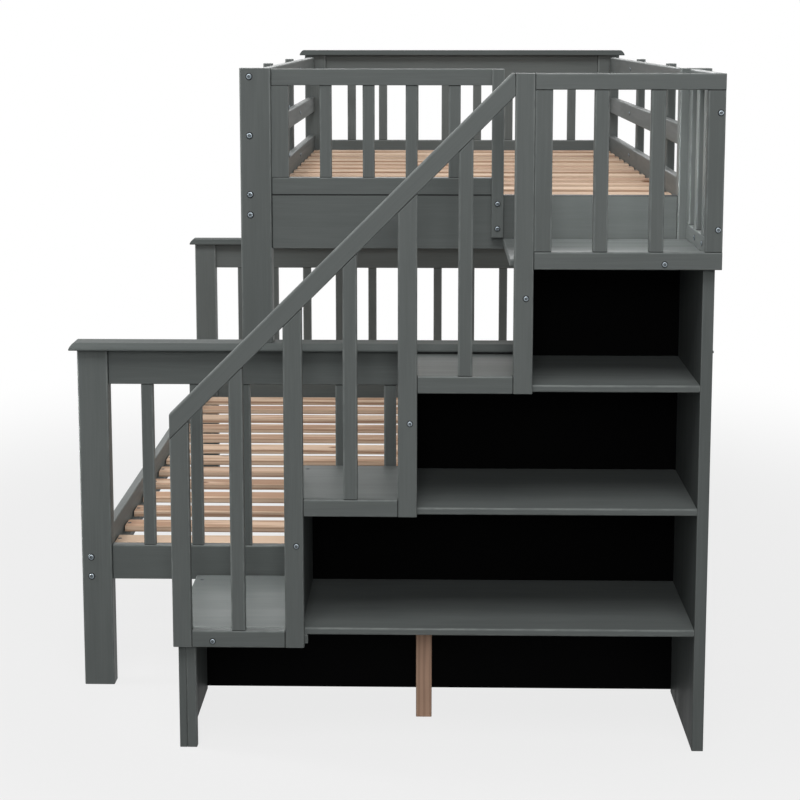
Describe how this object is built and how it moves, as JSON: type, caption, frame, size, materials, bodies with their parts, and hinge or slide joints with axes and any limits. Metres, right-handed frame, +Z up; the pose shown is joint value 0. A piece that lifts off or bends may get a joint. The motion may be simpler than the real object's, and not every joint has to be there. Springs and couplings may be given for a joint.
{
  "type": "bunk bed",
  "caption": "Twin over full wooden bunk bed on slatted bases, with guard rails and a storage staircase of open shelves, railing and platform across its foot end.",
  "frame": {"origin": "on the floor, under the middle of the whole outline", "axes": "+X up the stairs (across the bed), +Y from the foot end with the stairs to the head end, +Z up"},
  "size_m": [1.468, 2.3794, 1.458],
  "materials": {
    "gray_paint": "satin gray paint on solid wood",
    "natural_pine": "planed natural pine",
    "plain_leg_wood": "plain unpainted wood",
    "black_board": "matt black hardboard",
    "zinc_steel": "zinc plated"
  },
  "bodies": {
    "root": {"lower_foot_post_left": "gray_paint", "lower_foot_post_right": "gray_paint", "lower_head_post_left": "gray_paint", "lower_head_post_right": "gray_paint", "lower_foot_cap": "gray_paint", "lower_head_cap": "gray_paint", "lower_foot_top_rail": "gray_paint", "lower_foot_bottom_rail": "gray_paint", "lower_foot_balusters": "gray_paint", "lower_head_top_rail": "gray_paint", "lower_head_bottom_rail": "gray_paint", "lower_head_balusters": "gray_paint", "lower_side_rail_left": "gray_paint", "lower_side_rail_right": "gray_paint", "lower_ledgers": "gray_paint", "lower_slats": "natural_pine", "lower_centre_beam": "natural_pine", "lower_centre_legs": "natural_pine", "upper_foot_post_left": "gray_paint", "upper_foot_post_right": "gray_paint", "upper_head_post_left": "gray_paint", "upper_head_post_right": "gray_paint", "upper_foot_board": "gray_paint", "upper_head_board": "gray_paint", "upper_head_top_rail": "gray_paint", "upper_head_cap": "gray_paint", "upper_head_balusters": "gray_paint", "upper_side_rail_left": "gray_paint", "upper_side_rail_right": "gray_paint", "upper_ledgers": "gray_paint", "upper_slats": "natural_pine", "left_guard_bars": "gray_paint", "left_guard_stiles": "gray_paint", "right_guard_bars": "gray_paint", "right_guard_stiles": "gray_paint", "end_guard_rails": "gray_paint", "end_guard_uprights": "gray_paint", "stair_left_panel": "gray_paint", "stair_right_panel": "gray_paint", "stair_risers": "gray_paint", "stair_back_panels": "black_board", "stair_battens": "gray_paint", "shelf_leg": "plain_leg_wood", "tread_1": "gray_paint", "tread_2": "gray_paint", "tread_3": "gray_paint", "platform": "gray_paint", "railing_newels": "gray_paint", "railing_balusters": "gray_paint", "railing_bars": "gray_paint", "handrail": "gray_paint", "platform_guard_bars": "gray_paint", "platform_guard_uprights": "gray_paint", "side_guard_bars": "gray_paint", "side_guard_uprights": "gray_paint", "bed_bolts": "zinc_steel", "barrel_nuts": "zinc_steel", "wood_screws": "zinc_steel", "slat_screws": "zinc_steel", "stacking_pins": "zinc_steel"}
  },
  "joints": []
}
